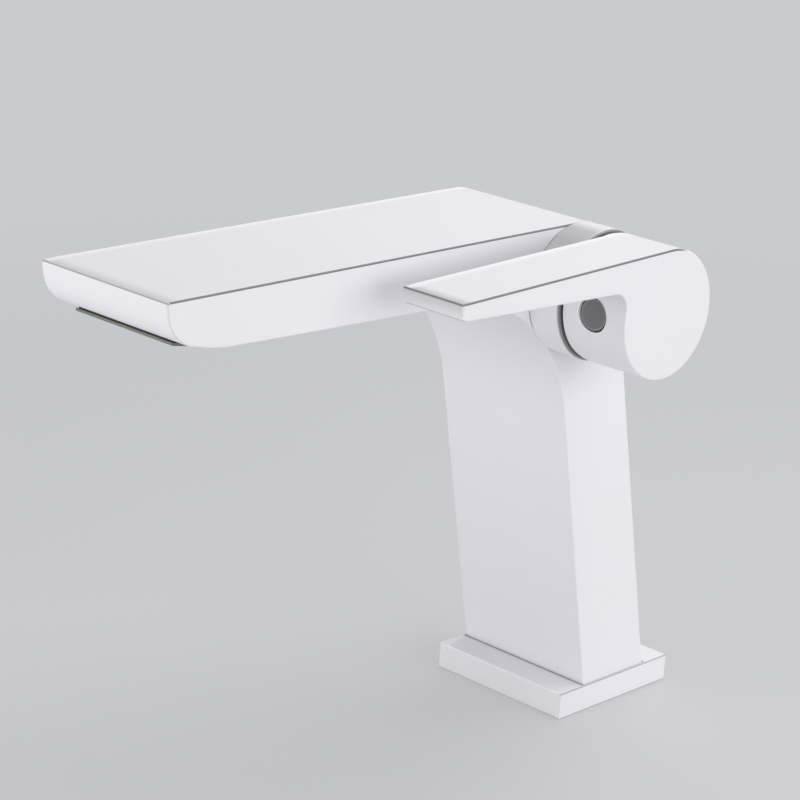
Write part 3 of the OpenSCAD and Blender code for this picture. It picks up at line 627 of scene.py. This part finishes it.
# The profile as (radius, distance from the seat's floor, painted edge tone): a painted shade
# darkens the wall, and a painted highlight runs as a light line inside the chamfer
plug_profile = np.array([
    (0, 0, 0), (4.55, 0, 0), (4.85, 0.3, 1), (4.85, 2.1, 1), (4.75, 2.24, 1), (4.45, 2.52, 0.4),
    (4.35, 2.59, -0.7), (4.25, 2.6, -0.7), (4.1, 2.6, -0.7), (3.9, 2.6, 0), (0, 2.6, 0)])
plug = turned(plug_profile[:, :2], (seat_x, seat_floor, hub_z), (0, -1, 0), (1, 0, 0))
plug_arris = np.tile(plug_profile[:, 2], (round_steps, 1))
new_piece("index_cap", [patch(plug, around=True, arris=plug_arris)],
          grey_abs, "lever", "plug_plastic", "index_plug")

# OUTLET. A moulded insert with twelve slots spreads the water into a sheet. A rubber frame
# seals it in the chin's pocket and shows as a dark line, and a steel screen lies over it.


def dress(material, *names):
    """Gives CAD pieces a material."""
    for name in names:
        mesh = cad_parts[name].data
        mesh.materials.clear()
        mesh.materials.append(material)


# Moulded plastic, a dull greenish grey
soft_grey, shader, place = new_material("grey thermoplastic, moulded", {"IOR": 1.47})
finish(soft_grey, shader, mottled(soft_grey, place, 5), ("#74776e", "#6d7067"),
       mottled(soft_grey, place, 2, 0.3, 0.4))
dress(soft_grey, "outlet_insert")

# Moulded rubber, near black and matt
black_rubber, shader, place = new_material("EPDM rubber, moulded matt", {"IOR": 1.5})
finish(black_rubber, shader, mottled(black_rubber, place, 2), ("#2b2b2d", "#232325"),
       mottled(black_rubber, place, 0.8, 0.55, 0.7))
dress(black_rubber, "outlet_seal")

# Rolled sheet: a cool grey metal, its gloss uneven by half a millimetre
plain_steel, shader, place = new_material("stainless steel, rolled", {"Metallic": 1.0})
finish(plain_steel, shader, mottled(plain_steel, place, 1.2), ("#c4c6c9", "#b9bbbe"),
       mottled(plain_steel, place, 0.5, 0.25, 0.38))
dress(plain_steel, "outlet_screen")

# CARTRIDGE. Discs of lapped alumina, a housing and foot of natural white acetal, a carrier and
# a limit ring of blue acetal, a stem and a nut of turned brass, and a steel screw in the handle.

# Lapped ceramic: a warm white with a high gloss
alumina, shader, place = new_material("alumina, lapped", {"IOR": 1.76})
finish(alumina, shader, mottled(alumina, place, 1.0), ("#f3efe4", "#ebe6d9"),
       mottled(alumina, place, 0.4, 0.18, 0.26))
dress(alumina, "fixed_disc", "moving_disc")

# Moulded acetal, uncoloured and coloured: even and half matt
white_acetal, shader, place = new_material("natural white acetal, moulded", {"IOR": 1.48})
finish(white_acetal, shader, mottled(white_acetal, place, 4), ("#e6e6df", "#dfdfd7"),
       mottled(white_acetal, place, 1.5, 0.4, 0.5))
dress(white_acetal, "cartridge_foot", "cartridge_housing")
blue_acetal, shader, place = new_material("blue acetal, moulded", {"IOR": 1.48})
finish(blue_acetal, shader, mottled(blue_acetal, place, 4), ("#4a7ab0", "#446fa3"),
       mottled(blue_acetal, place, 1.5, 0.4, 0.5))
dress(blue_acetal, "disc_carrier", "limit_ring")

# Turned brass: the tool leaves fine rings round the axis, here the X axis. They are drawn coarser
# than a tool's, so that they show. A wave of scale 1 repeats every 2 pi / 20.
turned_brass, shader, place = new_material("brass, turned", {"Metallic": 1.0})
ring_mm = 1.885
rings = add_node(turned_brass, "ShaderNodeTexWave", [
    ("Vector", place), ("Scale", 1000 / ring_mm * 2 * math.pi / 20), ("Distortion", 0.4),
    ("Detail", 1.0)], bands_direction="X").outputs["Fac"]
finish(turned_brass, shader, rings, ("#c9a85a", "#bd9a4b"),
       mottled(turned_brass, place, 0.6, 0.22, 0.34), rings, 0.004)
dress(turned_brass, "stem", "retaining_nut")
dress(plain_steel, "set_screw")

# SEALS. Moulded rubber sleeves on the waterways' ports, O-rings round the foot, the housing, the
# stem and the nut's sleeve, and a flat ring in the plate's groove.
dress(black_rubber, "cold_port_seal", "hot_port_seal", "outlet_port_seal", "foot_ring",
      "housing_ring", "stem_ring", "bonnet_ring", "deck_seal")

# FLOOR. A plain pale sheet under the tap. It is lit like the rest and keeps the shadow.
floor_mesh = bpy.data.meshes.new("floor")
floor_mesh.from_pydata([(-6, -6, -0.0003), (6, -6, -0.0003), (6, 6, -0.0003), (-6, 6, -0.0003)],
                       [], [(0, 1, 2, 3)])
floor = bpy.data.objects.new("floor", floor_mesh)
bpy.context.scene.collection.objects.link(floor)
pale = "#cacbcf"


def looked_at(owner):
    """1 where a material or world is seen, directly, mirrored or through glass, and 0 where it
    only gives light."""
    rays = add_node(owner, "ShaderNodeLightPath")
    seen = rays.outputs["Is Camera Ray"]
    for kind in ("Is Glossy Ray", "Is Transmission Ray"):
        seen = add_node(owner, "ShaderNodeMath", [(0, seen), (1, rays.outputs[kind])],
                        operation="MAXIMUM").outputs["Value"]
    return seen


# The sheet shows partly its own pale colour, from 55 % of it near the tap to all of it 0.65 m
# away, where it meets the room's
pale_sheet, shader, place = new_material("pale paper sheet", {
    "Base Color": colour("#cfcfd2"), "IOR": 1.3, "Specular IOR Level": 0.1})
link(pale_sheet, mottled(pale_sheet, place, 40, 0.75, 0.85), shader.inputs["Roughness"])
glow = add_node(pale_sheet, "ShaderNodeEmission", [("Color", colour(pale)), ("Strength", 1.0)])
away = add_node(pale_sheet, "ShaderNodeVectorMath", [(0, place)], operation="LENGTH")
glow_share = add_node(pale_sheet, "ShaderNodeMapRange", [
    ("Value", away.outputs["Value"]), ("From Min", 0.15), ("From Max", 0.65),
    ("To Min", 0.55), ("To Max", 1.0)], interpolation_type="SMOOTHSTEP")
glow_share = add_node(pale_sheet, "ShaderNodeMath", [
    (0, looked_at(pale_sheet)), (1, glow_share.outputs["Result"])], operation="MULTIPLY")
mixed = add_node(pale_sheet, "ShaderNodeMixShader", [
    (0, glow_share.outputs["Value"]), (1, shader.outputs["BSDF"]), (2, glow.outputs["Emission"])])
link(pale_sheet, mixed.outputs["Shader"],
     pale_sheet.node_tree.nodes["Material Output"].inputs["Surface"])
floor_mesh.materials.append(pale_sheet)

# LIGHT. A pale room all round and three soft lamps: one from the lever's side, one close in front
# of the spout, both low, and one above and behind that grazes the top faces.
world = bpy.data.worlds.new("pale room")
bpy.context.scene.world = world
world.use_nodes = True
room = add_node(world, "ShaderNodeBackground", [("Color", colour("#ffffff")), ("Strength", 0.26)])
shown = add_node(world, "ShaderNodeBackground", [("Color", colour(pale)), ("Strength", 1.0)])
mixed = add_node(world, "ShaderNodeMixShader", [
    (0, looked_at(world)), (1, room.outputs["Background"]), (2, shown.outputs["Background"])])
link(world, mixed.outputs["Shader"], world.node_tree.nodes["World Output"].inputs["Surface"])


def lamp(name, place, aim, width, height, power):
    """A soft lamp that looks from its place to its aim. Its panel isn't seen from any side."""
    data = bpy.data.lights.new(name, "AREA")
    data.shape, data.size, data.size_y, data.energy = "RECTANGLE", width, height, power
    made = bpy.data.objects.new(name, data)
    made.location = place
    made.rotation_euler = (Vector(aim) - Vector(place)).to_track_quat("-Z", "Y").to_euler()
    made.visible_camera = False
    bpy.context.scene.collection.objects.link(made)


# Name, place, aim, width and height in metres, and power in watts
lamp("lever_side", (1.15, -0.06, 0.36), (0, -0.07, 0.14), 1.2, 0.6, 7.3)
lamp("front", (-0.15, -0.74, 0.2), (0, -0.15, 0.13), 0.75, 0.3, 2.5)
lamp("above_behind", (0.05, 0.24, 0.75), (0, -0.07, 0.154), 0.8, 0.7, 4.5)

# CAMERA. Long lens, close to the photograph's view: from the lever's side and a little above.
camera_data = bpy.data.cameras.new("camera")
camera_data.sensor_width, camera_data.lens = 36.0, 119.44
camera_data.clip_start, camera_data.clip_end = 0.05, 50
camera = bpy.data.objects.new("camera", camera_data)
right, up = Vector((0.715273, 0.695809, 0.065072)), Vector((-0.255466, 0.173667, 0.951093))
back = Vector((0.650478, -0.696914, 0.301975))
camera.matrix_world = Matrix.Translation((0.48430, -0.59650, 0.32838)) @ Matrix(
    (right, up, back)).transposed().to_4x4()
bpy.context.scene.collection.objects.link(camera)
bpy.context.scene.camera = camera

bpy.context.scene.view_settings.view_transform = "Standard"
